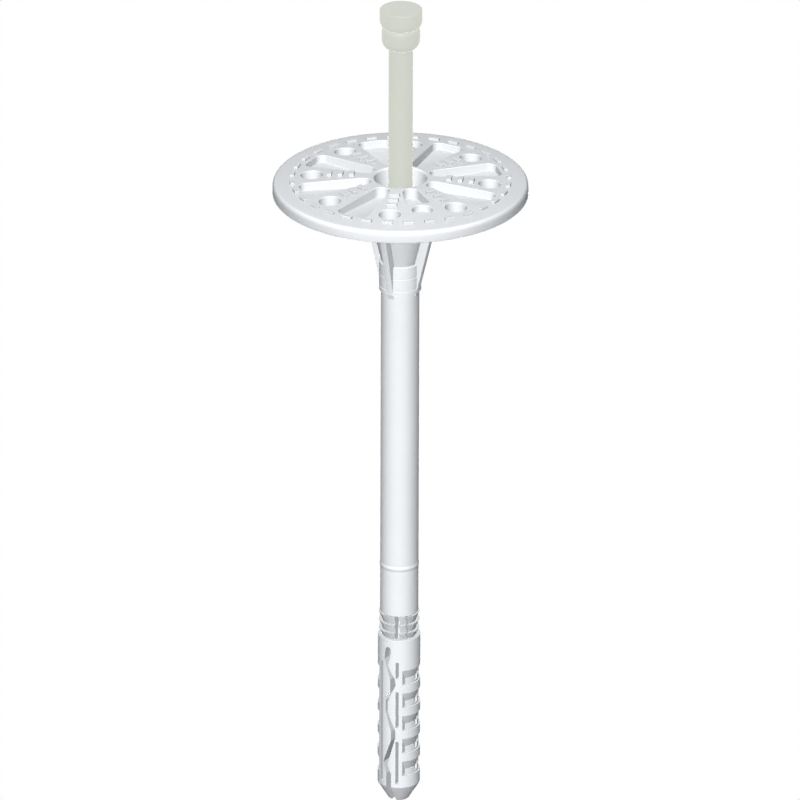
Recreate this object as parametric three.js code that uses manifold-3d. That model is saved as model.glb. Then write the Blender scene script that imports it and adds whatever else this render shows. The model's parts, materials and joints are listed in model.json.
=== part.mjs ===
// Wall anchor that pins insulation board to masonry: a moulded plug with a pressure plate,
// and the expansion nail that is driven down through it. Millimetres, +Z up.
//
// Heights are measured from a datum 0.6 above the plate's underside, positive towards the head.
// The finished group is lifted by PLUG.reach, so the origin is the plug's leading tip.

import * as THREE from 'three';
import { mergeVertices } from 'three/addons/utils/BufferGeometryUtils.js';
import Module from 'manifold-3d';

const wasm = await Module();
wasm.setup();

// ---- driving dimensions ------------------------------------------------------------------

const TUBE_FACETS = 32;
const PLATE_FACETS = 60;
const HOLE_FACETS = 12;

// the plug reaches this far below the datum, around the nail's guide bore
const PLUG = { reach: 156.5, boreRadius: 2.95 };

const PLATE = {
  radius: 30, underZ: -0.6, rimZ: 2.2, crown: 1.3, filletWidth: 0.7, filletHeight: 1.1,
  footChamfer: 0.15,
};
const HUB = { radius: 11.4, underZ: -1.2, draft: 0.2 };
const FUNNEL = { mouthRadius: 6.1, waistRadius: 4.75, waistZ: -4.5, seatZ: -9.0 };

const HOLES = { count: 8, radius: 2.5, ringRadius: 21 };
const POCKETS = {
  count: 8, floorZ: 0.9, innerEnd: 7.3, outerEnd: 24, innerRadius: 1.9, cornerRadius: 1.8,
  flare: THREE.MathUtils.degToRad(8.4),
};
const STAMP_CUP = { pocket: 7, rampRadius: 15.7, ringRadius: 19, radius: 2.35, floorZ: 1.6 };

const RIM_BARS = { count: 32, ringRadius: 25.5, width: 2.5, depth: 1.0, topZ: 3.1 };
const SPOKE_BARS = { ringRadii: [11.5, 14.2, 16.8], width: 2.4, depth: 1.2, rise: 0.75 };

const NECK = {
  topRadius: 8.75, coneFootRadius: 4.4, bandRadius: 4.95, grooveRadius: 4.6, grooveHeight: 0.3,
  bands: [[-17.8, -20.6], [-20.9, -23.6], [-23.9, -25.0]], endZ: -27.1,
};
const RIBS = { count: 4, thickness: 1.6, topRadius: 10.75, footZ: -26.1, wallInset: 0.75 };

const SLEEVE = { radius: 4.5, endZ: -107.95, beadRadius: 4.68, beadZ: -95.6, beadHeight: 1.2 };

// saw-toothed rings that shorten when the board settles: tall ones on two sides and low ones
// on the other two, where slots parallel to Y part them into panels
const CRUSH = {
  teeth: 3, pitch: 2.1, edge: 0.2, endZ: -113.85,
  tall: { outer: 4.8, inner: 4.0 }, low: { outer: 4.6, inner: 4.0 },
  tallFrom: THREE.MathUtils.degToRad(-17), tallTo: THREE.MathUtils.degToRad(68),
  slots: [{ from: 1.2, to: 2.2, floorY: 0 }, { from: 3.37, to: 3.66, floorY: 1.5 }],
};

const ZONE = {
  radius: 5.0, rootZ: -115.8, chamfer: 0.05,
  coneZ: -152.3, noseRadius: 3.05, noseZ: -156.1, flatRadius: 2.45,
};

// edges of the zigzag parting slot, seen along Y: [x, height]
const ZIGZAG = {
  left: [
    [-0.4, -115.8], [-0.85, -116.2], [-1.0, -117.0], [-1.2, -119.05], [-0.7, -120.65],
    [0.4, -124.05], [0.4, -127.35], [-1.15, -129.05], [-0.8, -129.65], [-0.8, -132.55],
    [0.62, -137.65], [0.62, -140.05], [-1.5, -145.95], [-0.63, -148.75], [-0.63, -157.5],
  ],
  right: [
    [0.25, -115.8], [0.6, -116.2], [0.72, -116.8], [-0.25, -120.55], [1.5, -123.75],
    [1.7, -125.45], [-0.28, -129.95], [-0.28, -132.45], [1.6, -137.05], [1.85, -138.65],
    [-0.28, -146.25], [0.66, -148.75], [0.66, -157.5],
  ],
};
const SIDE_SLOTS = {
  x: 2.05, width: 0.65,
  right: [[-119.5, -123.7], [-127.2, -136.5], [-140.1, -151.1]], left: [[-119.8, -151.0]],
};

// pockets between the barbs: each reaches from fromX outwards, and its floor is a cylinder
// that stands off the axis, with a taper under the barb above and a ledge over the one below
const BARBS = {
  count: 5, firstZ: -121.65, pitch: 5.9, height: 3.75, fromX: 3.13,
  floorX: 2.0, floorRadius: 2.89, taper: 1.65, ledge: 0.45,
};

// swing of a jaw in radians per millimetre of nail travel, how far above the hinge the
// nail's point waits, and where the jaws' bore ends
const DRIVE = { swingPerMm: 1.126e-3, entryLag: 10, boreEndZ: -151.4, boreSteps: 8 };

const NAIL = { radius: 2.85, tipZ: -107, tipLength: 9, tipRadius: 0.5, headFootZ: 36.4 };
const HEAD = {
  topZ: 46.3, edgeRound: 0.4, capRadius: 5.0, capFootZ: 43.6, waistRadius: 3.87, waistZ: 41.6,
  bulgeRadius: 4.5, bulgeTopZ: 40.4, bulgeFootZ: 38.8,
};

const WHITE_PLASTIC = { color: 0xe9edf0, roughness: 0.42, metalness: 0 };
const NATURAL_PLASTIC = { color: 0xd6dac9, roughness: 0.38, metalness: 0 };

// ---- solids ------------------------------------------------------------------------------

// A closed three.js geometry as a solid that can be joined and cut.
function solidOf(geometry) {
  const bare = geometry.clone();
  bare.deleteAttribute('normal');
  bare.deleteAttribute('uv');
  const merged = mergeVertices(bare, 1e-4);
  const corners = merged.index.array;
  const kept = [];
  for (let i = 0; i < corners.length; i += 3) {
    const [a, b, c] = [corners[i], corners[i + 1], corners[i + 2]];
    if (a !== b && b !== c && c !== a) kept.push(a, b, c);
  }
  return new wasm.Manifold(new wasm.Mesh({
    numProp: 3,
    vertProperties: Float32Array.from(merged.attributes.position.array),
    triVerts: Uint32Array.from(kept),
  }));
}

function geometryOf(solid) {
  const { vertProperties, triVerts } = solid.getMesh();
  const geometry = new THREE.BufferGeometry();
  geometry.setAttribute('position', new THREE.BufferAttribute(vertProperties, 3));
  geometry.setIndex(new THREE.BufferAttribute(triVerts, 1));
  geometry.computeVertexNormals();
  return geometry;
}

// Turns a counter-clockwise [radius, height] outline about Z. An outline that doesn't start
// on the axis is closed on itself.
function turned(outline, facets = TUBE_FACETS) {
  const points = outline.map(([r, z]) => new THREE.Vector2(r, z));
  if (outline[0][0] > 0) points.push(points[0].clone());
  return solidOf(new THREE.LatheGeometry(points, facets).rotateX(Math.PI / 2));
}

// An upright block with its centre on the given radius and turn.
function block(radius, turn, depth, width, lowZ, highZ) {
  const geometry = new THREE.BoxGeometry(depth, width, highZ - lowZ);
  geometry.translate(radius, 0, (lowZ + highZ) / 2).rotateZ(turn);
  return solidOf(geometry);
}

// An upright post of the given outline.
function post(shape, lowZ, highZ, turn = 0, curveSegments = 6) {
  const geometry = new THREE.ExtrudeGeometry(shape, {
    depth: highZ - lowZ, bevelEnabled: false, curveSegments,
  });
  return solidOf(geometry.translate(0, 0, lowZ).rotateZ(turn));
}

// A slab whose outline is given in X and height, centred on the XZ plane.
function slab(outline, thickness, turn = 0) {
  const shape = new THREE.Shape(outline.map(([x, z]) => new THREE.Vector2(x, z)));
  const geometry = new THREE.ExtrudeGeometry(shape, { depth: thickness, bevelEnabled: false });
  geometry.translate(0, 0, -thickness / 2).rotateX(Math.PI / 2).rotateZ(turn);
  return solidOf(geometry);
}

const joined = (solids) => solids.reduce((all, next) => all.add(next));
const turnOf = (index, count, offset = 0) => (2 * Math.PI * (index + offset)) / count;
const domeZ = (r) => PLATE.rimZ + PLATE.crown * (1 - (r / PLATE.radius) ** 2);

// Points of a convex quarter round from [r0, z0] to [r1, z1]: level at the smaller radius
// and upright at the larger one.
function quarterRound([r0, z0], [r1, z1], steps = 4) {
  const [startTurn, wide, low] = r0 > r1 ? [0, r0, r1] : [Math.PI / 2, r1, r0];
  const [fullZ, levelZ] = r0 > r1 ? [z0, z1] : [z1, z0];
  return Array.from({ length: steps + 1 }, (_, i) => {
    const turn = startTurn + (r0 > r1 ? 1 : -1) * (i / steps) * (Math.PI / 2);
    return [low + (wide - low) * Math.cos(turn), fullZ + (levelZ - fullZ) * Math.sin(turn)];
  });
}

// ---- plug: plate -------------------------------------------------------------------------

// Radius of the countersink that the nail's head sinks into.
function funnelRadius(z) {
  const share = (z - FUNNEL.waistZ) / (domeZ(0) - FUNNEL.waistZ);
  return FUNNEL.waistRadius + (FUNNEL.mouthRadius - FUNNEL.waistRadius) * share;
}

function plateBlank() {
  const { radius, underZ, filletWidth, filletHeight, footChamfer } = PLATE;
  const rim = [0, 30, 60, 85].map((degrees) => {
    const turn = THREE.MathUtils.degToRad(degrees);
    return [
      radius - filletWidth * (1 - Math.cos(turn)),
      domeZ(radius - filletWidth) - filletHeight * (1 - Math.sin(turn)),
    ];
  });
  const dome = [24, 18, 12, FUNNEL.mouthRadius].map((r) => [r, domeZ(r)]);
  return turned([
    [funnelRadius(HUB.underZ), HUB.underZ], [HUB.radius - HUB.draft, HUB.underZ],
    [HUB.radius, underZ], [radius - footChamfer, underZ],
    [radius, underZ + footChamfer], ...rim, ...dome,
  ], PLATE_FACETS);
}

// Outline of one blind pocket, along +X: round inner end, flaring sides, rounded corners.
function pocketShape() {
  const { innerEnd, outerEnd, innerRadius, cornerRadius, flare } = POCKETS;
  const innerX = innerEnd + innerRadius;
  const cornerX = outerEnd - cornerRadius;
  const spread = (cornerX - innerX) * Math.sin(flare) + innerRadius - cornerRadius;
  const cornerY = spread / Math.cos(flare);
  const side = Math.PI / 2 + flare;
  const shape = new THREE.Shape();
  shape.absarc(cornerX, -cornerY, cornerRadius, -side, 0);
  shape.absarc(cornerX, cornerY, cornerRadius, 0, side);
  shape.absarc(innerX, 0, innerRadius, side, 2 * Math.PI - side);
  return shape;
}

function pocketCut(index) {
  const turn = turnOf(index, POCKETS.count);
  const cut = post(pocketShape(), POCKETS.floorZ, domeZ(0) + 1, turn, 3);
  if (index !== STAMP_CUP.pocket) return cut;
  const middle = (STAMP_CUP.rampRadius + PLATE.radius) / 2;
  const depth = PLATE.radius - STAMP_CUP.rampRadius;
  return cut.subtract(block(middle, turn, depth, PLATE.radius / 2, 0, domeZ(0) + 2));
}

function roundHole(ringRadius, turn, radius, lowZ) {
  const geometry = new THREE.CylinderGeometry(radius, radius, domeZ(0) + 2 - lowZ, HOLE_FACETS);
  geometry.rotateX(Math.PI / 2).translate(ringRadius, 0, (domeZ(0) + 2 + lowZ) / 2);
  return solidOf(geometry.rotateZ(turn));
}

// Low bars on the top face that key the render coat to the plate.
function plateBars() {
  const rim = Array.from({ length: RIM_BARS.count }, (_, i) => block(
    RIM_BARS.ringRadius, turnOf(i, RIM_BARS.count), RIM_BARS.depth, RIM_BARS.width, 1,
    RIM_BARS.topZ,
  ));
  const spokes = Array.from({ length: HOLES.count }, (_, i) => SPOKE_BARS.ringRadii.map(
    (r) => block(
      r, turnOf(i, HOLES.count, 0.5), SPOKE_BARS.depth, SPOKE_BARS.width, 1,
      domeZ(r) + SPOKE_BARS.rise,
    ),
  ));
  return joined([...rim, ...spokes.flat()]);
}

function pressurePlate() {
  const holes = Array.from({ length: HOLES.count }, (_, i) => roundHole(
    HOLES.ringRadius, turnOf(i, HOLES.count, 0.5), HOLES.radius, PLATE.underZ - 1,
  ));
  const pockets = Array.from({ length: POCKETS.count }, (_, i) => pocketCut(i));
  const cup = roundHole(
    STAMP_CUP.ringRadius, turnOf(STAMP_CUP.pocket, POCKETS.count), STAMP_CUP.radius,
    STAMP_CUP.floorZ,
  );
  return plateBlank().add(plateBars()).subtract(joined([...holes, ...pockets, cup]));
}

// ---- plug: neck, sleeve and crush zone ---------------------------------------------------

function ribbedNeck() {
  const groove = (z) => [[NECK.grooveRadius, z], [NECK.grooveRadius, z + NECK.grooveHeight]];
  const bands = [...NECK.bands].reverse().flatMap(([top, foot], i) => [
    [NECK.bandRadius, foot], [NECK.bandRadius, top],
    ...(i < NECK.bands.length - 1 ? groove(top) : []),
  ]);
  const body = turned([
    [PLUG.boreRadius, NECK.endZ], [SLEEVE.radius, NECK.endZ], [SLEEVE.radius, -25], ...bands,
    [NECK.coneFootRadius, NECK.bands[0][0]], [NECK.topRadius, HUB.underZ],
    [funnelRadius(HUB.underZ), HUB.underZ],
    [FUNNEL.waistRadius, FUNNEL.waistZ], [PLUG.boreRadius, FUNNEL.seatZ],
  ]);
  const inset = RIBS.wallInset;
  const rib = [
    [SLEEVE.radius, RIBS.footZ], [RIBS.topRadius, HUB.underZ],
    [funnelRadius(HUB.underZ) + inset, HUB.underZ],
    [FUNNEL.waistRadius + inset, FUNNEL.waistZ], [PLUG.boreRadius + inset, FUNNEL.seatZ],
    [PLUG.boreRadius + inset, RIBS.footZ],
  ];
  const ribs = Array.from(
    { length: RIBS.count }, (_, i) => slab(rib, RIBS.thickness, turnOf(i, RIBS.count)),
  );
  return body.add(joined(ribs));
}

function insulationSleeve() {
  const { radius, endZ, beadRadius, beadZ, beadHeight } = SLEEVE;
  const rise = beadRadius - radius;
  return turned([
    [PLUG.boreRadius, endZ], [radius, endZ], [radius, beadZ - beadHeight / 2],
    [beadRadius, beadZ - beadHeight / 2 + rise], [beadRadius, beadZ + beadHeight / 2 - rise],
    [radius, beadZ + beadHeight / 2], [radius, NECK.endZ], [PLUG.boreRadius, NECK.endZ],
  ]);
}

// A stack of teeth, each widest under its level top and tapering down to the next.
function sawToothed({ outer, inner }) {
  const teeth = Array.from({ length: CRUSH.teeth }, (_, i) => SLEEVE.endZ - i * CRUSH.pitch);
  const outline = teeth.flatMap((topZ, i) => [
    [inner, topZ], [outer, topZ], [outer, topZ - CRUSH.edge], [inner, teeth[i + 1] ?? CRUSH.endZ],
  ]);
  const shell = [[PLUG.boreRadius, CRUSH.endZ], ...outline.reverse().slice(0, -1)];
  return turned([...shell, [PLUG.boreRadius, SLEEVE.endZ]]);
}

// A sector of an upright cylinder that takes in the crush zone between two turns.
function sector(from, to) {
  const reach = ZONE.radius + 2;
  const shape = new THREE.Shape();
  shape.moveTo(0, 0);
  shape.lineTo(reach * Math.cos(from), reach * Math.sin(from));
  shape.absarc(0, 0, reach, from, to);
  return post(shape, CRUSH.endZ - 1, SLEEVE.endZ + 1);
}

function crushZone() {
  const sides = [-1, 1];
  const tall = [0, Math.PI].map((half) => sector(CRUSH.tallFrom + half, CRUSH.tallTo + half));
  const slots = sides.flatMap((side) => CRUSH.slots.map(({ from, to, floorY }) => {
    const depth = ZONE.radius - floorY;
    const geometry = new THREE.BoxGeometry(to - from, depth, SLEEVE.endZ - CRUSH.endZ - 0.4);
    geometry.translate(
      -side * (from + to) / 2, side * (floorY + depth / 2), (SLEEVE.endZ + CRUSH.endZ) / 2,
    );
    return solidOf(geometry);
  }));
  const fins = sawToothed(CRUSH.tall).intersect(joined(tall));
  return sawToothed(CRUSH.low).add(fins).subtract(joined(slots));
}

function expansionCollar() {
  const { radius, rootZ, chamfer } = ZONE;
  return turned([
    [PLUG.boreRadius, rootZ], [radius, rootZ], [radius, CRUSH.endZ - chamfer],
    [radius - chamfer, CRUSH.endZ], [PLUG.boreRadius, CRUSH.endZ],
  ]);
}

// ---- plug: the two expansion jaws --------------------------------------------------------

// How far the jaw's bore lies inside the nail's path at a depth below the hinge, so that
// the jaw opens just as the nail's point gets there.
const boreInset = (depth) => 0.95 * DRIVE.swingPerMm * depth * (depth + DRIVE.entryLag);

function jawBore(side) {
  const length = ZONE.rootZ - DRIVE.boreEndZ;
  const geometry = new THREE.CylinderGeometry(
    PLUG.boreRadius, PLUG.boreRadius, length, TUBE_FACETS, DRIVE.boreSteps,
  );
  geometry.rotateX(Math.PI / 2).translate(0, 0, ZONE.rootZ - length / 2);
  const place = geometry.attributes.position;
  for (let i = 0; i < place.count; i += 1) {
    const depth = ZONE.rootZ - place.getZ(i);
    place.setX(i, place.getX(i) - side * boreInset(depth));
  }
  return solidOf(geometry);
}

function jawBlank() {
  return turned([
    [0, -PLUG.reach], [ZONE.flatRadius, -PLUG.reach], [ZONE.noseRadius, ZONE.noseZ],
    [ZONE.radius, ZONE.coneZ], [ZONE.radius, ZONE.rootZ], [0, ZONE.rootZ],
  ]);
}

// What a barb pocket leaves standing: circles [x, radius, height] stacked from the top down.
function pocketFloor(circles) {
  const geometry = new THREE.CylinderGeometry(1, 1, 1, TUBE_FACETS, circles.length - 1);
  geometry.rotateX(Math.PI / 2);
  const place = geometry.attributes.position;
  for (let i = 0; i < place.count; i += 1) {
    const level = Math.round((0.5 - place.getZ(i)) * (circles.length - 1));
    const [x, radius, z] = circles[level];
    place.setXYZ(i, x + radius * place.getX(i), radius * place.getY(i), z);
  }
  return solidOf(geometry);
}

function barbPockets(side) {
  const { count, firstZ, pitch, height, fromX, floorX, floorRadius, taper, ledge } = BARBS;
  const depth = ZONE.radius + 1 - fromX;
  const middle = side * (fromX + depth / 2);
  const pockets = Array.from({ length: count }, (_, i) => {
    const topZ = firstZ - i * pitch;
    const footZ = topZ - height;
    const floor = pocketFloor([
      [0, ZONE.radius, topZ], [side * floorX, floorRadius, topZ - taper],
      [side * floorX, floorRadius, footZ + ledge], [0, ZONE.radius, footZ],
    ]);
    return block(middle, 0, depth, 4 * ZONE.radius, footZ, topZ).subtract(floor);
  });
  return joined(pockets);
}

function expansionJaw(side) {
  const name = side > 0 ? 'right' : 'left';
  const edge = ZIGZAG[name];
  const far = side * (ZONE.radius + 3);
  const half = slab([...edge, [far, edge.at(-1)[1]], [far, ZONE.rootZ]], 4 * ZONE.radius);
  const sideSlots = SIDE_SLOTS[name].map(([topZ, footZ]) => block(
    side * SIDE_SLOTS.x, 0, SIDE_SLOTS.width, 4 * ZONE.radius, footZ, topZ,
  ));
  const cuts = joined([jawBore(side), barbPockets(side), ...sideSlots]);
  return jawBlank().intersect(half).subtract(cuts);
}

// ---- nail --------------------------------------------------------------------------------

function nailShank() {
  return turned([
    [0, NAIL.tipZ], [NAIL.tipRadius, NAIL.tipZ], [NAIL.radius, NAIL.tipZ + NAIL.tipLength],
    [NAIL.radius, NAIL.headFootZ], [0, NAIL.headFootZ],
  ]);
}

function nailHead() {
  const edgeZ = HEAD.topZ - HEAD.edgeRound;
  return turned([
    [0, NAIL.headFootZ],
    ...quarterRound([NAIL.radius, NAIL.headFootZ], [HEAD.bulgeRadius, HEAD.bulgeFootZ]),
    ...quarterRound([HEAD.bulgeRadius, HEAD.bulgeTopZ], [HEAD.waistRadius, HEAD.waistZ], 2),
    ...quarterRound([HEAD.waistRadius, HEAD.waistZ + 0.1], [HEAD.capRadius, HEAD.capFootZ]),
    ...quarterRound([HEAD.capRadius, edgeZ], [HEAD.capRadius - HEAD.edgeRound, HEAD.topZ], 2),
    [0, HEAD.topZ],
  ]);
}

// ---- assembly ----------------------------------------------------------------------------

function part(name, solid, finish) {
  const mesh = new THREE.Mesh(geometryOf(solid), new THREE.MeshStandardMaterial(finish));
  mesh.name = name;
  return mesh;
}

const plug = new THREE.Group();
plug.add(
  part('pressure_plate', pressurePlate(), WHITE_PLASTIC),
  part('ribbed_neck', ribbedNeck(), WHITE_PLASTIC),
  part('insulation_sleeve', insulationSleeve(), WHITE_PLASTIC),
  part('crush_zone', crushZone(), WHITE_PLASTIC),
  part('expansion_collar', expansionCollar(), WHITE_PLASTIC),
  part('expansion_jaw_right', expansionJaw(1), WHITE_PLASTIC),
  part('expansion_jaw_left', expansionJaw(-1), WHITE_PLASTIC),
);

const nail = new THREE.Group();
nail.add(
  part('nail_shank', nailShank(), NATURAL_PLASTIC),
  part('nail_head', nailHead(), NATURAL_PLASTIC),
);

const anchor = new THREE.Group();
anchor.add(plug, nail);
anchor.position.z = PLUG.reach;

export default anchor;
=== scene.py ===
import json
import math

import bpy
from mathutils import Matrix, Quaternion, Vector


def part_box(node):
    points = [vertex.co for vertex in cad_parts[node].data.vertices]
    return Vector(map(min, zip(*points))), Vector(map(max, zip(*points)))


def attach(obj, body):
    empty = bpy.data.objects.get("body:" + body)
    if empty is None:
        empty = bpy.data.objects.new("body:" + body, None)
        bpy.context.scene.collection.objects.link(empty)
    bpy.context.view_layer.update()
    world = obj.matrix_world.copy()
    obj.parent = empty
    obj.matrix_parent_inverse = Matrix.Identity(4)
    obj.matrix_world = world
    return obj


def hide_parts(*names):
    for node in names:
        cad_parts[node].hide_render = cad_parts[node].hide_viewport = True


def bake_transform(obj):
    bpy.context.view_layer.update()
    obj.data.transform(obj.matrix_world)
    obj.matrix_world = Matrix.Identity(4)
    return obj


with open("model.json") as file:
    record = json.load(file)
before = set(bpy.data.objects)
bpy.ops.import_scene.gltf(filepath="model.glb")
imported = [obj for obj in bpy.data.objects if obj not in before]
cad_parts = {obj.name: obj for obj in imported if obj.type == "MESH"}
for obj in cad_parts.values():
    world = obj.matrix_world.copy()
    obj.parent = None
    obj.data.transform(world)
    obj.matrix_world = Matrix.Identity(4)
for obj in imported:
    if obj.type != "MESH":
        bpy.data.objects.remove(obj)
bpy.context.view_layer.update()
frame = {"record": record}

# An insulation wall anchor: a white moulded plug with a pressure plate, and the natural-coloured
# expansion nail that is driven down through it.
#
# Shapes are built in millimetres with heights measured from a datum a little above the underside
# of the plate, positive towards the nail's head. place() turns them into metres in the frame's own
# coordinates.

MM = 0.001
UNDER_Z = -0.6
DATUM = UNDER_Z * -MM + next(
    m["pos_m"][2] for m in frame["record"]["mounts"] if m["name"] == "plate_underside"
)


def low_of(node):
    """Height of a CAD node's lowest point over the datum, in millimetres."""
    return (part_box(node)[0].z - DATUM) / MM


def high_of(node):
    return (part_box(node)[1].z - DATUM) / MM


def radius_of(node):
    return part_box(node)[1].x / MM


# ---- driving dimensions --------------------------------------------------------------------

ROUND_STEPS = 192
PLATE_STEPS = 288

# a sharp step in a turned outline still rises by this, and a cutter reaches this far past a face
SHARP_STEP = 0.02

BORE_RADIUS = 2.95
NECK_END = low_of("ribbed_neck")
SLEEVE_END = low_of("insulation_sleeve")
CRUSH_END = low_of("crush_zone")
JAW_ROOT = low_of("expansion_collar")
TIP = low_of("expansion_jaw_right")

PLATE_RADIUS = radius_of("pressure_plate")
RIM_Z = 2.2
CROWN = 1.3
FILLET_WIDTH, FILLET_HEIGHT = 0.7, 1.1
FOOT_FILLET = 0.15
HUB_RADIUS, HUB_DRAFT, HUB_Z = 11.4, 0.2, low_of("pressure_plate")
MOUTH_RADIUS = 6.1
MOUTH_FILLET = 0.5
WAIST_RADIUS, WAIST_Z, SEAT_Z = 4.75, -4.5, -9.0

SECTORS = 8
HOLE_RADIUS, HOLE_RING = 2.5, 21.0
POCKET_FLOOR = 0.9
POCKET_INNER, POCKET_OUTER = 7.3, 24.0
POCKET_INNER_RADIUS, POCKET_CORNER_RADIUS = 1.9, 1.8
POCKET_FLARE = math.radians(8.4)
WALL_DRAFT, LIP_FILLET, LIP_TURNS = 0.05, 0.15, (0, 20, 40, 60, 78)
HOLE_FOOT_CHAMFER = 0.15
STAMP_POCKET = 7
STAMP_RAMP, STAMP_RING, STAMP_RADIUS, STAMP_FLOOR = 15.7, 19.0, 2.35, 1.6

RIM_BAR_COUNT, RIM_BAR_RING = 32, 25.5
RIM_BAR_SIZE, RIM_BAR_TOP = (1.0, 2.5), 3.1
SPOKE_BAR_RINGS, SPOKE_BAR_SIZE, SPOKE_BAR_RISE = (11.5, 14.2, 16.8), (1.2, 2.4), 0.75
BAR_FOOT, BAR_EDGE, BAR_CORNER = 1.0, 0.06, 0.07

NECK_TOP_RADIUS, CONE_FOOT_RADIUS, CONE_FOOT_RISE = 8.75, 4.4, 0.1
BAND_RADIUS, BAND_EDGE, GROOVE_RADIUS = 4.95, 0.05, 4.85
BANDS = ((-17.8, -20.6), (-20.9, -23.6), (-23.9, -25.0))
RIB_COUNT, RIB_THICKNESS, RIB_EDGE = 4, 1.6, 0.25
RIB_TOP_RADIUS, RIB_FOOT, RIB_INSET = 10.75, -26.1, 0.75

SLEEVE_RADIUS, SLEEVE_CHAMFER = 4.5, 0.15
BEAD_RADIUS, BEAD_Z, BEAD_HEIGHT = 4.62, -95.6, 1.2

# saw-toothed rings of the crush zone as (crest, root) radii, tall on two sides and low on the
# other two, with slots as (from x, to x, how far their floor stays in front of the axis)
TEETH, TOOTH_PITCH, TOOTH_EDGE = 3, 2.1, 0.06
TALL_TEETH, LOW_TEETH = (4.8, 4.0), (4.6, 4.0)
TALL_SECTOR = (math.radians(-17), math.radians(68))
CRUSH_SLOTS = ((1.2, 2.2, 0.0), (3.37, 3.66, 1.5))

ZONE_RADIUS = radius_of("expansion_collar")
ACROSS = (-2 * ZONE_RADIUS, 2 * ZONE_RADIUS)
COLLAR_CHAMFER = 0.05
CONE_TOP, CONE_EDGE_ABOVE, CONE_EDGE_BELOW = -152.3, 0.25, 0.12
TIP_FILLET, TIP_FILLET_RING = 0.6, 2.05

# edges of the zigzag parting slot, seen along Y, as (x, height)
LEFT_EDGE = (
    (-0.4, JAW_ROOT), (-0.85, -116.2), (-1.0, -117.0), (-1.2, -119.05), (-0.7, -120.65),
    (0.4, -124.05), (0.4, -127.35), (-1.15, -129.05), (-0.8, -129.65), (-0.8, -132.55),
    (0.62, -137.65), (0.62, -140.05), (-1.5, -145.95), (-0.63, -148.75), (-0.63, TIP - 1),
)
RIGHT_EDGE = (
    (0.25, JAW_ROOT), (0.6, -116.2), (0.72, -116.8), (-0.25, -120.55), (1.5, -123.75),
    (1.7, -125.45), (-0.28, -129.95), (-0.28, -132.45), (1.6, -137.05), (1.85, -138.65),
    (-0.28, -146.25), (0.66, -148.75), (0.66, TIP - 1),
)
SIDE_SLOT_X, SIDE_SLOT_WIDTH = 2.05, 0.65
SIDE_SLOTS = {1: ((-119.5, -123.7), (-127.2, -136.5), (-140.1, -151.1)), -1: ((-119.8, -151.0),)}

# pockets between the barbs; a low pad stands on each one's floor under the taper, parted in the
# middle by a notch
BARB_COUNT, BARB_TOP, BARB_PITCH, BARB_HEIGHT, BARB_FROM = 5, -121.65, 5.9, 3.75, 3.13
BARB_FLOOR_RADIUS, BARB_TAPER, BARB_LEDGE = 4.1, 2.3, 0.05
BARB_EDGE_TOP, BARB_EDGE_FOOT = 0.03, 0.04
PAD_FROM, PAD_RADIUS, PAD_SINK = 3.75, 4.58, 0.1
PAD_NOTCH_ANGLE, PAD_NOTCH_HEIGHT = math.radians(9), 1.0

# the jaws' bore leans in by a share of the swing that the nail gives the jaws as it comes down
SWING_PER_MM, SWING_SHARE, ENTRY_LAG, BORE_END = 1.126e-3, 0.95, 10.0, -151.4

NAIL_RADIUS, NAIL_TIP_LENGTH, NAIL_TIP_RADIUS = 2.85, 9.0, 0.5
NAIL_TIP = low_of("nail_shank")
HEAD_FOOT, HEAD_TOP = low_of("nail_head"), high_of("nail_head")
CAP_RADIUS, CAP_FOOT, CAP_EDGE = 5.0, 43.6, 0.4
NAIL_WAIST_RADIUS, NAIL_WAIST_Z, NAIL_WAIST_HEIGHT = 3.87, 41.6, 0.1
BULGE_RADIUS, BULGE_TOP, BULGE_FOOT = 4.5, 40.4, 38.8


# ---- meshes --------------------------------------------------------------------------------

def solid(name, points, faces):
    """An object from points in millimetres, not yet placed in the frame."""
    mesh = bpy.data.meshes.new(name)
    mesh.from_pydata(points, [], faces)
    mesh.validate()
    made = bpy.data.objects.new(name, mesh)
    bpy.context.scene.collection.objects.link(made)
    return made


def turned(name, outline, steps=ROUND_STEPS):
    """A body of revolution from a counter-clockwise (radius, height) outline, closed on itself."""
    points, rows = [], []
    for radius, height in outline:
        count = steps if radius > 1e-9 else 1
        rows.append([len(points) + k for k in range(count)])
        for k in range(count):
            turn = 2 * math.pi * k / steps
            points.append((radius * math.cos(turn), radius * math.sin(turn), height))
    faces = []
    for first, second in zip(rows, rows[1:] + rows[:1]):
        for k in range(steps if max(len(first), len(second)) > 1 else 0):
            a, b = first[k % len(first)], first[(k + 1) % len(first)]
            c, d = second[(k + 1) % len(second)], second[k % len(second)]
            faces.append(tuple(dict.fromkeys((a, b, c, d))))
    return solid(name, points, faces)


def lofted(name, rings):
    """A closed body through equally long rings, counter-clockwise from above, going up."""
    count = len(rings[0])
    points = [p for ring in rings for p in ring]
    faces = [tuple(reversed(range(count)))]
    for level in range(len(rings) - 1):
        low, high = level * count, (level + 1) * count
        for k in range(count):
            n = (k + 1) % count
            faces.append((low + k, low + n, high + n, high + k))
    faces.append(tuple(range(len(points) - count, len(points))))
    return solid(name, points, faces)


def block(name, x, y, z, turn=0.0):
    """A box between pairs of coordinates, then turned about the plug's axis."""
    rings = [
        [(x[0], y[0], h), (x[1], y[0], h), (x[1], y[1], h), (x[0], y[1], h)] for h in z
    ]
    return spun(lofted(name, rings), turn)


def spun(piece, turn):
    piece.data.transform(Matrix.Rotation(turn, 4, "Z"))
    return piece


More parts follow.
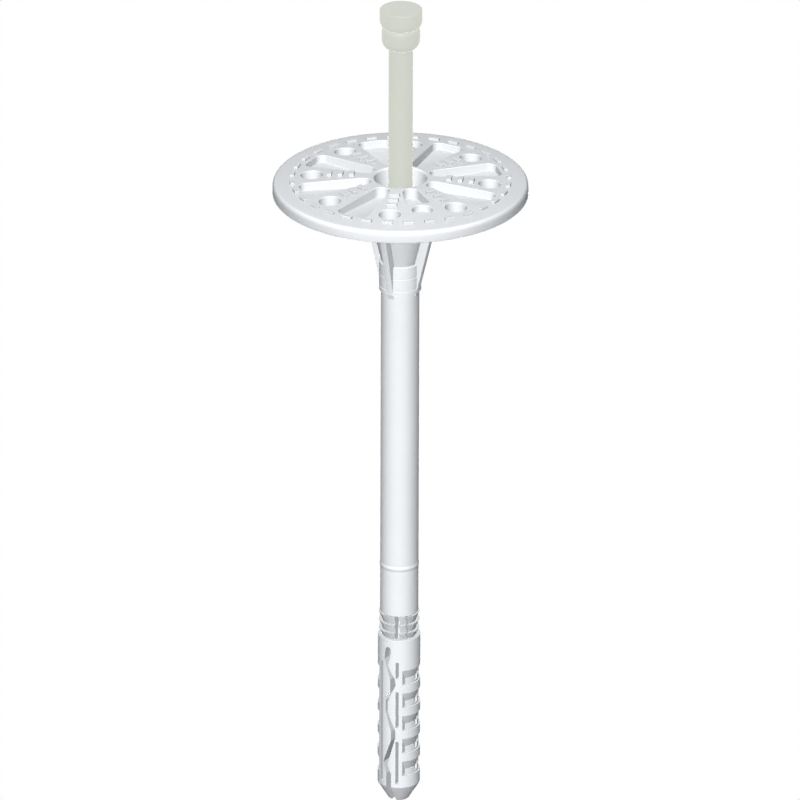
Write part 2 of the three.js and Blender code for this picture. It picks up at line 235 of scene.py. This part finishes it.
def combine(piece, others, operation):
    """Joins other solids to a piece, or cuts them out of it, and uses them up."""
    for other in others:
        change = piece.modifiers.new(operation, "BOOLEAN")
        change.operation = operation
        change.solver = "MANIFOLD"
        change.object = other
        graph = bpy.context.evaluated_depsgraph_get()
        mesh = bpy.data.meshes.new_from_object(piece.evaluated_get(graph))
        piece.modifiers.clear()
        piece.data = mesh
        bpy.data.objects.remove(other)
    return piece


def gathered(name, parts):
    """One object from solids that don't touch each other."""
    points, faces = [], []
    for part in parts:
        start = len(points)
        points += [tuple(v.co) for v in part.data.vertices]
        faces += [tuple(start + v for v in f.vertices) for f in part.data.polygons]
        bpy.data.objects.remove(part)
    return solid(name, points, faces)


def arc(centre, radius, start, end, steps):
    """Points of a circle's arc between two angles in degrees."""
    turns = [math.radians(start + (end - start) * i / steps) for i in range(steps + 1)]
    return [(centre[0] + radius * math.cos(t), centre[1] + radius * math.sin(t)) for t in turns]


def place(piece, body, finish, *nodes):
    """Moves a piece into the frame, gives it the material of its (material, slot) finish and lets
    it stand for nodes; the slot is not used.
    """
    material, slot = finish
    piece.data.transform(Matrix.Translation((0, 0, DATUM)) @ Matrix.Scale(MM, 4))
    piece.data.shade_smooth()
    piece.data.set_sharp_from_angle(angle=math.radians(16))
    piece.data.materials.clear()
    piece.data.materials.append(material)
    piece.visible_shadow = piece.visible_diffuse = False
    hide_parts(*nodes)
    if body:
        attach(piece, body)
    return piece


# ---- pressure plate ------------------------------------------------------------------------

def dome(radius):
    return RIM_Z + CROWN * (1 - (radius / PLATE_RADIUS) ** 2)


def funnel_radius(height):
    share = (height - WAIST_Z) / (dome(0) - WAIST_Z)
    return WAIST_RADIUS + (MOUTH_RADIUS - WAIST_RADIUS) * share


def plate_blank():
    fillet_x = PLATE_RADIUS - FILLET_WIDTH
    rim = [
        (fillet_x + FILLET_WIDTH * across, dome(fillet_x) - FILLET_HEIGHT * (1 - up))
        for across, up in arc((0, 0), 1, 0, 85, 14)
    ]
    foot = arc((PLATE_RADIUS - FOOT_FILLET, UNDER_Z + FOOT_FILLET), FOOT_FILLET, -90, 0, 5)
    crown_steps = 28
    inner = MOUTH_RADIUS + MOUTH_FILLET
    crown = [
        fillet_x + (inner - fillet_x) * i / crown_steps for i in range(1, crown_steps + 1)
    ]
    mouth = arc((inner, dome(inner) - MOUTH_FILLET), MOUTH_FILLET, 100, 175, 6)
    return turned("pressure_plate_shell", [
        (funnel_radius(HUB_Z), HUB_Z), (HUB_RADIUS - HUB_DRAFT, HUB_Z), (HUB_RADIUS, UNDER_Z),
        *foot, *rim, *[(r, dome(r)) for r in crown[:-1]], *mouth,
    ], PLATE_STEPS)


def rounded_outline(arcs):
    """(point, outward direction) pairs along arcs given as (centre, radius, from, to, steps)."""
    outline = []
    for centre, radius, start, end, steps in arcs:
        for i in range(steps + 1):
            turn = start + (end - start) * i / steps
            out = Vector((math.cos(turn), math.sin(turn)))
            outline.append((Vector(centre) + out * radius, out))
    return outline


def opening(name, outline, floor, turn):
    """A cutter for an opening in the plate's top, with a rounded lip.

    A floor inside the plate gives a blind opening with a filleted floor; one below the plate
    gives a through hole with a chamfered foot.
    """
    def ring(offset, height):
        points = [p + out * offset for p, out in outline]
        return [(p.x, p.y, height(p.length)) for p in points]

    levels = []
    if floor > UNDER_Z:
        for turn_in in map(math.radians, (0, 30, 60, 90)):
            rise = LIP_FILLET * (1 - math.cos(turn_in))
            inset = LIP_FILLET * (1 - math.sin(turn_in))
            levels.append((-inset, lambda r, rise=rise: floor + rise))
    else:
        levels.append((HOLE_FOOT_CHAMFER, lambda r: floor))
        levels.append((HOLE_FOOT_CHAMFER, lambda r: UNDER_Z))
        levels.append((0.0, lambda r: UNDER_Z + HOLE_FOOT_CHAMFER))
    for turn_out in map(math.radians, LIP_TURNS):
        drop = LIP_FILLET * (1 - math.sin(turn_out))
        lip = WALL_DRAFT + LIP_FILLET * (1 - math.cos(turn_out))
        levels.append((lip, lambda r, drop=drop: dome(r) - drop))
    levels.append((lip, lambda r: dome(0) + 2))
    return spun(lofted(name, [ring(*level) for level in levels]), turn)


def pocket_outline():
    inner_x = POCKET_INNER + POCKET_INNER_RADIUS
    corner_x = POCKET_OUTER - POCKET_CORNER_RADIUS
    spread = (corner_x - inner_x) * math.sin(POCKET_FLARE)
    corner_y = (spread + POCKET_INNER_RADIUS - POCKET_CORNER_RADIUS) / math.cos(POCKET_FLARE)
    side = math.pi / 2 + POCKET_FLARE
    return rounded_outline([
        ((corner_x, -corner_y), POCKET_CORNER_RADIUS, -side, 0, 10),
        ((corner_x, corner_y), POCKET_CORNER_RADIUS, 0, side, 10),
        ((inner_x, 0), POCKET_INNER_RADIUS, side, 2 * math.pi - side, 14),
    ])


def plate_pocket(index):
    turn = 2 * math.pi * index / SECTORS
    cut = opening("pocket", pocket_outline(), POCKET_FLOOR, turn)
    if index != STAMP_POCKET:
        return cut
    keep = block("stamp_ramp", (STAMP_RAMP, PLATE_RADIUS), (-6, 6), (0, dome(0) + 3), turn)
    return combine(cut, [keep], "DIFFERENCE")


def round_opening(ring_radius, radius, floor, turn):
    circle = rounded_outline([((ring_radius, 0), radius, 0, 2 * math.pi, 48)])[:-1]
    return opening("hole", circle, floor, turn)


def keying_bar(radius, turn, size, top):
    """A low bar on the plate's top face, with its top edges and corners taken off."""
    deep, wide = size[0] / 2, size[1] / 2
    rings = []
    for inset, height in ((0.0, BAR_FOOT), (0.0, top - BAR_EDGE), (BAR_EDGE, top)):
        x, y = deep - inset, wide - inset
        cut_x, cut_y = x - BAR_CORNER, y - BAR_CORNER
        ring = [
            (cut_x, -y), (x, -cut_y), (x, cut_y), (cut_x, y),
            (-cut_x, y), (-x, cut_y), (-x, -cut_y), (-cut_x, -y),
        ]
        rings.append([(radius + px, py, height) for px, py in ring])
    return spun(lofted("bar", rings), turn)


def plate_bars():
    rim = [
        keying_bar(RIM_BAR_RING, 2 * math.pi * k / RIM_BAR_COUNT, RIM_BAR_SIZE, RIM_BAR_TOP)
        for k in range(RIM_BAR_COUNT)
    ]
    spokes = [
        keying_bar(r, 2 * math.pi * (k + 0.5) / SECTORS, SPOKE_BAR_SIZE, dome(r) + SPOKE_BAR_RISE)
        for k in range(SECTORS) for r in SPOKE_BAR_RINGS
    ]
    return gathered("bars", rim + spokes)


def pressure_plate():
    piece = combine(plate_blank(), [plate_bars()], "UNION")
    holes = [
        round_opening(HOLE_RING, HOLE_RADIUS, UNDER_Z - 1, 2 * math.pi * (k + 0.5) / SECTORS)
        for k in range(SECTORS)
    ]
    pockets = [plate_pocket(k) for k in range(SECTORS)]
    stamp = round_opening(
        STAMP_RING, STAMP_RADIUS, STAMP_FLOOR, 2 * math.pi * STAMP_POCKET / SECTORS
    )
    return combine(piece, [gathered("openings", holes + pockets), stamp], "DIFFERENCE")


# ---- neck, sleeve and crush zone -----------------------------------------------------------

def soft_band(radius, top, foot):
    """Outline of a raised band with rounded edges, going up."""
    edge, cut = BAND_EDGE, BAND_EDGE / 3
    return [
        (radius - edge, foot), (radius - cut, foot + cut), (radius, foot + edge),
        (radius, top - edge), (radius - cut, top - cut), (radius - edge, top),
    ]


def neck_rib(turn):
    def outer(height):
        share = (height - RIB_FOOT) / (HUB_Z - RIB_FOOT)
        return SLEEVE_RADIUS + (RIB_TOP_RADIUS - SLEEVE_RADIUS) * share

    def inner(height):
        if height > WAIST_Z:
            return funnel_radius(height) + RIB_INSET
        share = max(0.0, (height - SEAT_Z) / (WAIST_Z - SEAT_Z))
        return BORE_RADIUS + (WAIST_RADIUS - BORE_RADIUS) * share + RIB_INSET

    half = RIB_THICKNESS / 2
    rings = []
    for height in (RIB_FOOT, SEAT_Z, WAIST_Z, HUB_Z):
        nose = arc((outer(height) - RIB_EDGE, half - RIB_EDGE), RIB_EDGE, 0, 90, 4)
        tail = [(x, -y) for x, y in reversed(nose)]
        ring = [(inner(height), -half), *tail, *nose, (inner(height), half)]
        rings.append([(x, y, height) for x, y in ring])
    return spun(lofted("rib", rings), turn)


def ribbed_neck():
    bands = []
    for top, foot in reversed(BANDS):
        bands += [(GROOVE_RADIUS, foot - SHARP_STEP), *soft_band(BAND_RADIUS, top, foot)]
        bands += [(GROOVE_RADIUS, top + SHARP_STEP)]
    body = turned("ribbed_neck_shell", [
        (BORE_RADIUS, NECK_END), (SLEEVE_RADIUS, NECK_END),
        (SLEEVE_RADIUS, BANDS[-1][1] - 1.5 * SHARP_STEP), *bands,
        (CONE_FOOT_RADIUS, BANDS[0][0] + CONE_FOOT_RISE), (NECK_TOP_RADIUS, HUB_Z),
        (funnel_radius(HUB_Z), HUB_Z), (WAIST_RADIUS, WAIST_Z), (BORE_RADIUS, SEAT_Z),
    ])
    ribs = [neck_rib(2 * math.pi * k / RIB_COUNT) for k in range(RIB_COUNT)]
    return combine(body, ribs, "UNION")


def insulation_sleeve():
    low, rise, steps = BEAD_Z - BEAD_HEIGHT / 2, BEAD_RADIUS - SLEEVE_RADIUS, 12
    crest = [
        (SLEEVE_RADIUS + rise * math.sin(math.pi * i / steps), low + BEAD_HEIGHT * i / steps)
        for i in range(steps + 1)
    ]
    return turned("insulation_sleeve_shell", [
        (BORE_RADIUS, SLEEVE_END), (SLEEVE_RADIUS - SLEEVE_CHAMFER, SLEEVE_END),
        (SLEEVE_RADIUS, SLEEVE_END + SLEEVE_CHAMFER), *crest, (SLEEVE_RADIUS, NECK_END),
        (BORE_RADIUS, NECK_END),
    ])


def sector(start, end, radius, low, high):
    """A slice of a cylinder about the axis between two angles."""
    ring = [(0.0, 0.0)] + arc((0, 0), radius, math.degrees(start), math.degrees(end), 24)
    return lofted("sector", [[(x, y, h) for x, y in ring] for h in (low, high)])


def saw_toothed(name, outer, inner):
    """Stacked teeth, each widest under its level top and tapering down to the next."""
    tops = [SLEEVE_END - k * TOOTH_PITCH for k in range(TEETH)]
    outline = []
    for top, foot in zip(tops, [*tops[1:], CRUSH_END]):
        outline += [(inner, top), (outer, top), (outer, top - TOOTH_EDGE)]
        outline += [(inner, foot + SHARP_STEP)]
    outline[-1] = (inner, CRUSH_END)
    return turned(name, [(BORE_RADIUS, CRUSH_END), *outline[:0:-1], (BORE_RADIUS, SLEEVE_END)])


def crush_zone():
    low, high = CRUSH_END - 1, SLEEVE_END + 1
    sectors = [
        sector(TALL_SECTOR[0] + half, TALL_SECTOR[1] + half, ZONE_RADIUS + 2, low, high)
        for half in (0, math.pi)
    ]
    fins = combine(saw_toothed("fins", *TALL_TEETH), [gathered("sectors", sectors)], "INTERSECT")
    piece = combine(saw_toothed("crush_zone_shell", *LOW_TEETH), [fins], "UNION")
    slots = [
        block("slot", (start, end), (-ZONE_RADIUS - 1, -floor), (CRUSH_END, SLEEVE_END), half)
        for half in (0, math.pi) for start, end, floor in CRUSH_SLOTS
    ]
    return combine(piece, slots, "DIFFERENCE")


def expansion_collar():
    chamfer = COLLAR_CHAMFER
    return turned("expansion_collar_shell", [
        (BORE_RADIUS, JAW_ROOT), (ZONE_RADIUS, JAW_ROOT), (ZONE_RADIUS, CRUSH_END - chamfer),
        (ZONE_RADIUS - chamfer, CRUSH_END), (BORE_RADIUS, CRUSH_END),
    ])


# ---- expansion jaws ------------------------------------------------------------------------

def jaw_levels(low, high, pitch=1.0):
    steps = max(1, math.ceil((high - low) / pitch))
    return [low + (high - low) * i / steps for i in range(steps + 1)]


def jaw_blank(name):
    nose = arc((TIP_FILLET_RING, TIP + TIP_FILLET), TIP_FILLET, -90, -20, 5)
    wall = [(ZONE_RADIUS, h) for h in jaw_levels(CONE_TOP + CONE_EDGE_ABOVE, JAW_ROOT)]
    return turned(name, [
        (0, TIP), *nose, (ZONE_RADIUS - CONE_EDGE_BELOW, CONE_TOP - CONE_EDGE_BELOW), *wall,
        (0, JAW_ROOT),
    ])


def jaw_bore(side):
    """The nail's path through one jaw, leaning inwards so that the nail pushes the jaw out."""
    rings = []
    for height in jaw_levels(BORE_END, JAW_ROOT + 1):
        depth = max(0.0, JAW_ROOT - height)
        inset = SWING_SHARE * SWING_PER_MM * depth * (depth + ENTRY_LAG)
        circle = arc((-side * inset, 0), BORE_RADIUS, 0, 360, 64)[:-1]
        rings.append([(x, y, height) for x, y in circle])
    return lofted("bore", rings)


def slab(outline, half_width):
    """A slab that spans Y, from an outline of (x, height) points in either direction."""
    count = len(outline)
    points = [(x, y, z) for y in (-half_width, half_width) for x, z in outline]
    front, back = tuple(range(count)), tuple(range(2 * count - 1, count - 1, -1))
    walls = [(k + count, (k + 1) % count + count, (k + 1) % count, k) for k in range(count)]
    made = solid("slab", points, [front, back, *walls])
    if sum(a[0] * b[1] - b[0] * a[1] for a, b in zip(outline, outline[1:] + outline[:1])) < 0:
        made.data.flip_normals()
    return made


def jaw_half(side):
    edge = RIGHT_EDGE if side > 0 else LEFT_EDGE
    far = side * (ZONE_RADIUS + 3)
    return slab([*edge, (far, edge[-1][1]), (far, JAW_ROOT)], 2 * ZONE_RADIUS)


def barb_pad(side, top, foot):
    """The low notched pad inside a barb pocket, which the pocket's cutter leaves standing."""
    base = foot - PAD_SINK
    pad = turned("pad", [(0, base), (PAD_RADIUS, base), (PAD_RADIUS, top), (0, top)])
    middle = 0 if side > 0 else math.pi
    notch = sector(
        middle - PAD_NOTCH_ANGLE, middle + PAD_NOTCH_ANGLE, ZONE_RADIUS + 1,
        top - PAD_NOTCH_HEIGHT, top + 1,
    )
    x = sorted((-2 * side * ZONE_RADIUS, side * PAD_FROM))
    leg = block("leg", x, ACROSS, (foot - 1, top + 1))
    return combine(pad, [notch, leg], "DIFFERENCE")


def barb_pocket(side, top):
    """The space between two barbs: a taper under the upper one, a floor, a ledge over the next."""
    foot = top - BARB_HEIGHT
    floor = turned("floor", [
        (0, foot - SHARP_STEP), (ZONE_RADIUS + SHARP_STEP, foot - SHARP_STEP),
        (ZONE_RADIUS - BARB_EDGE_FOOT, foot), (BARB_FLOOR_RADIUS, foot + BARB_LEDGE),
        (BARB_FLOOR_RADIUS, top - BARB_TAPER), (ZONE_RADIUS - BARB_EDGE_TOP, top),
        (ZONE_RADIUS + SHARP_STEP, top + SHARP_STEP), (0, top + SHARP_STEP),
    ])
    x = sorted((side * BARB_FROM, side * (ZONE_RADIUS + 2)))
    pocket = block("pocket", x, ACROSS, (foot, top))
    return combine(pocket, [floor, barb_pad(side, top - BARB_TAPER, foot)], "DIFFERENCE")


def expansion_jaw(side):
    name = "expansion_jaw_right_shell" if side > 0 else "expansion_jaw_left_shell"
    piece = combine(jaw_blank(name), [jaw_half(side)], "INTERSECT")
    middle, half = side * SIDE_SLOT_X, SIDE_SLOT_WIDTH / 2
    slots = [
        block("slot", (middle - half, middle + half), ACROSS, (foot, top))
        for top, foot in SIDE_SLOTS[side]
    ]
    pockets = [barb_pocket(side, BARB_TOP - k * BARB_PITCH) for k in range(BARB_COUNT)]
    return combine(piece, [jaw_bore(side), gathered("pockets", pockets), *slots], "DIFFERENCE")


# ---- nail ----------------------------------------------------------------------------------

def quarter(start, end, steps=10):
    """Convex quarter round between two (radius, height) points, level at the smaller radius."""
    wide, narrow = (start, end) if start[0] > end[0] else (end, start)
    points = []
    for i in range(steps + 1):
        turn = math.pi / 2 * i / steps
        points.append((
            narrow[0] + (wide[0] - narrow[0]) * math.cos(turn),
            wide[1] + (narrow[1] - wide[1]) * math.sin(turn),
        ))
    return points if start[0] > end[0] else points[::-1]


def expansion_nail():
    waist_top = NAIL_WAIST_Z + NAIL_WAIST_HEIGHT
    return turned("expansion_nail", [
        (0, NAIL_TIP), (NAIL_TIP_RADIUS, NAIL_TIP),
        (NAIL_RADIUS, NAIL_TIP + NAIL_TIP_LENGTH), (NAIL_RADIUS, 0), (NAIL_RADIUS, HEAD_FOOT - 1),
        *quarter((NAIL_RADIUS, HEAD_FOOT), (BULGE_RADIUS, BULGE_FOOT)),
        *quarter((BULGE_RADIUS, BULGE_TOP), (NAIL_WAIST_RADIUS, NAIL_WAIST_Z)),
        *quarter((NAIL_WAIST_RADIUS, waist_top), (CAP_RADIUS, CAP_FOOT)),
        *quarter((CAP_RADIUS, HEAD_TOP - CAP_EDGE), (CAP_RADIUS - CAP_EDGE, HEAD_TOP)),
        (0, HEAD_TOP),
    ])


# ---- materials -----------------------------------------------------------------------------

class Nodes:
    """A short way to write a material's node tree."""

    def __init__(self, name):
        self.material = bpy.data.materials.new(name)
        self.material.use_nodes = True
        self.tree = self.material.node_tree
        self.tree.nodes.clear()

    def add(self, kind, inputs=(), **settings):
        node = self.tree.nodes.new(kind)
        for name, value in settings.items():
            setattr(node, name, value)
        for key, value in dict(inputs).items():
            if isinstance(value, bpy.types.NodeSocket):
                self.tree.links.new(value, node.inputs[key])
            else:
                node.inputs[key].default_value = value
        return node


def tone(red, green, blue):
    """Screen values from 0 to 255 as the RGBA that the raw display transform shows as them."""
    return red / 255, green / 255, blue / 255, 1.0


def moulded_plastic(name, colour, roughness, painted_glow=0.0):
    """Satin moulded plastic with a fine matt grain and slight flow clouding.

    The last argument paints light: the part emits its own colour at that strength as an even
    painted glow that flattens its shading and stands in for light wandering through a translucent
    part. Its base colour is dimmed to match.
    """
    n = Nodes(name)
    where = n.add("ShaderNodeTexCoord").outputs["Object"]
    cloud = n.add("ShaderNodeTexNoise", {"Vector": where, "Scale": 90.0, "Detail": 3.0})
    grain = n.add("ShaderNodeTexNoise", {"Vector": where, "Scale": 5000.0, "Detail": 2.0})
    mottled = n.add("ShaderNodeHueSaturation", {
        "Color": colour,
        "Value": n.add("ShaderNodeMapRange", {
            "Value": cloud.outputs["Fac"], "To Min": 0.985, "To Max": 1.015,
        }).outputs["Result"],
    })
    skin_colour = n.add("ShaderNodeHueSaturation", {
        "Color": mottled.outputs["Color"], "Value": 1 - painted_glow,
    })
    bump = n.add("ShaderNodeBump", {
        "Height": grain.outputs["Fac"], "Strength": 0.06, "Distance": 0.0001,
    })
    skin = n.add("ShaderNodeBsdfPrincipled", {
        "Base Color": skin_colour.outputs["Color"],
        "Roughness": roughness,
        "IOR": 1.49,
        "Specular IOR Level": 0.25,
        # painted glow: the surface emits its own colour at the strength of the last argument,
        # though it is no lamp
        "Emission Color": mottled.outputs["Color"],
        "Emission Strength": painted_glow,
        "Normal": bump.outputs["Normal"],
    })
    n.add("ShaderNodeOutputMaterial", {"Surface": skin.outputs["BSDF"]})
    return n.material


# ---- studio --------------------------------------------------------------------------------

VIEW_AZIMUTH, VIEW_ELEVATION, VIEW_ROLL = 29.3, 23.8, 0.17
LENS, FRAME_WIDTH, AIM_HEIGHT, AIM_RIGHT = 1000.0, 0.18846, 0.10277, 0.00004

# lamps as (turn from the camera, elevation, strength, angular size), and the sky's even fill
KEY_LAMP, BACK_LAMP = (-5, 39, 0.76, 6), (180, -30, 0.3, 20)
SKY_FILL = 0.49

FLOOR_RADIUS, FLOOR_Z, FLOOR_STEPS = 20.0, -0.0004, 64


def direction(azimuth, elevation):
    """Unit vector from the object towards a viewer; azimuth 0 stands at -Y, 90 at +X."""
    a, e = math.radians(azimuth), math.radians(elevation)
    return Vector((math.sin(a) * math.cos(e), -math.cos(a) * math.cos(e), math.sin(e)))


def studio_floor():
    """A wide pale floor that the camera sees as even white and that throws no light back."""
    ring = [(x, y, FLOOR_Z) for x, y in arc((0, 0), FLOOR_RADIUS, 0, 360, FLOOR_STEPS)[:-1]]
    floor = solid("floor", ring, [tuple(range(FLOOR_STEPS))])
    n = Nodes("floor_paper")
    rays = n.add("ShaderNodeLightPath")
    matt = n.add("ShaderNodeBsdfDiffuse", {"Color": tone(200, 202, 204)})
    pale = n.add("ShaderNodeEmission", {"Color": (1, 1, 1, 1), "Strength": 1.0})
    mixed = n.add("ShaderNodeMixShader", {
        0: rays.outputs["Is Camera Ray"], 1: matt.outputs[0], 2: pale.outputs[0],
    })
    n.add("ShaderNodeOutputMaterial", {"Surface": mixed.outputs[0]})
    floor.data.materials.append(n.material)
    floor.visible_shadow = floor.visible_diffuse = False


def studio_world():
    """White behind the object, and an even cool light on it."""
    world = bpy.data.worlds.new("studio")
    world.use_nodes = True
    tree = world.node_tree
    tree.nodes.clear()
    rays = tree.nodes.new("ShaderNodeLightPath")
    seen = tree.nodes.new("ShaderNodeBackground")
    seen.inputs["Color"].default_value = (1, 1, 1, 1)
    fill = tree.nodes.new("ShaderNodeBackground")
    fill.inputs["Color"].default_value = tone(249, 254, 255)
    fill.inputs["Strength"].default_value = SKY_FILL
    mixed = tree.nodes.new("ShaderNodeMixShader")
    out = tree.nodes.new("ShaderNodeOutputWorld")
    tree.links.new(rays.outputs["Is Camera Ray"], mixed.inputs[0])
    tree.links.new(fill.outputs[0], mixed.inputs[1])
    tree.links.new(seen.outputs[0], mixed.inputs[2])
    tree.links.new(mixed.outputs[0], out.inputs["Surface"])
    bpy.context.scene.world = world


def sun(name, turn, elevation, strength, angle):
    """A distant soft lamp; a pale face square to it reads its own colour times the strength."""
    data = bpy.data.lights.new(name, "SUN")
    data.energy = math.pi * strength
    data.angle = math.radians(angle)
    lamp = bpy.data.objects.new(name, data)
    lamp.rotation_mode = "QUATERNION"
    beam = -direction(VIEW_AZIMUTH + turn, elevation)
    lamp.rotation_quaternion = beam.to_track_quat("-Z", "Y")
    bpy.context.scene.collection.objects.link(lamp)


def studio_camera():
    data = bpy.data.cameras.new("camera")
    data.lens = LENS
    distance = FRAME_WIDTH * LENS / data.sensor_width
    data.clip_start, data.clip_end = 0.1, 50.0
    camera = bpy.data.objects.new("camera", data)
    back = direction(VIEW_AZIMUTH, VIEW_ELEVATION)
    right = Vector((0, 0, 1)).cross(back).normalized()
    aim = Vector((0, 0, AIM_HEIGHT)) + right * AIM_RIGHT
    camera.location = aim + back * distance
    camera.rotation_mode = "QUATERNION"
    roll = Quaternion(back, math.radians(VIEW_ROLL))
    camera.rotation_quaternion = roll @ (-back).to_track_quat("-Z", "Y")
    bpy.context.scene.collection.objects.link(camera)
    bpy.context.scene.camera = camera


# ---- the anchor ----------------------------------------------------------------------------

white = moulded_plastic("white_polypropylene", tone(229, 229, 232), 0.5), "plug_plastic"
# the nail's 0.85 is painted glow: it emits its own colour so that its shading reads flat
natural = moulded_plastic("natural_polyamide", tone(205, 208, 198), 0.5, 0.85), "nail_plastic"

place(pressure_plate(), "plug", white, "pressure_plate")
place(ribbed_neck(), "plug", white, "ribbed_neck")
place(insulation_sleeve(), "plug", white, "insulation_sleeve")
place(crush_zone(), "plug", white, "crush_zone")
place(expansion_collar(), "plug", white, "expansion_collar")
for jaw_side, jaw_body in ((1, "jaw_right"), (-1, "jaw_left")):
    jaw = place(expansion_jaw(jaw_side), None, white, "expansion_" + jaw_body)
    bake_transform(jaw)
place(expansion_nail(), "nail", natural, "nail_shank", "nail_head")

studio_floor()
studio_world()
sun("key", *KEY_LAMP)
sun("back", *BACK_LAMP)
studio_camera()
bpy.context.scene.view_settings.view_transform = "Raw"
